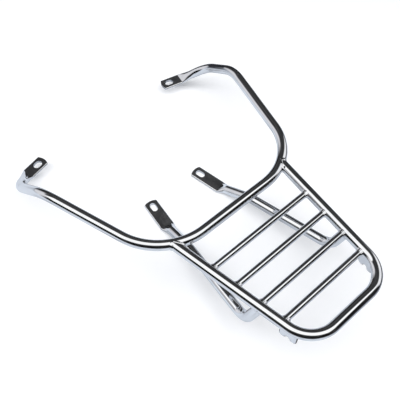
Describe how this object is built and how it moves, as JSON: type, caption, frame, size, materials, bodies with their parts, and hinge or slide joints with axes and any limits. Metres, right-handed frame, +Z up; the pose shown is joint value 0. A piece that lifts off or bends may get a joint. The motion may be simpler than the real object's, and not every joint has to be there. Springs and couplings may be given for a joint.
{
  "type": "motorcycle luggage rack",
  "caption": "Chrome tube rack with a tapered barred platform behind a wide hoop and two lower arms, bolted on through flattened slotted tube ends.",
  "frame": {"origin": "under the middle of the outline, level with the underside of the lower tabs", "axes": "+X right, +Y forward to the slotted ends, +Z up; the platform is level"},
  "size_m": [0.4224, 0.5718, 0.1092],
  "materials": {
    "chrome": "bright polished chrome plate on steel tube",
    "weld_chrome": "chrome plate over weld metal, slightly rippled"
  },
  "bodies": {
    "root": {"hoop_tube": "chrome", "loop_tube": "chrome", "crossbar_1": "chrome", "crossbar_2": "chrome", "crossbar_3": "chrome", "crossbar_4": "chrome", "right_lower_arm": "chrome", "left_lower_arm": "chrome", "right_hook_plate": "chrome", "left_hook_plate": "chrome", "right_hoop_weld": "weld_chrome", "left_hoop_weld": "weld_chrome", "right_arm_weld": "weld_chrome", "left_arm_weld": "weld_chrome", "right_hook_weld_outer": "weld_chrome", "right_hook_weld_inner": "weld_chrome", "left_hook_weld_outer": "weld_chrome", "left_hook_weld_inner": "weld_chrome", "right_bar_weld_1": "weld_chrome", "right_bar_weld_2": "weld_chrome", "right_bar_weld_3": "weld_chrome", "right_bar_weld_4": "weld_chrome", "left_bar_weld_1": "weld_chrome", "left_bar_weld_2": "weld_chrome", "left_bar_weld_3": "weld_chrome", "left_bar_weld_4": "weld_chrome"}
  },
  "joints": []
}
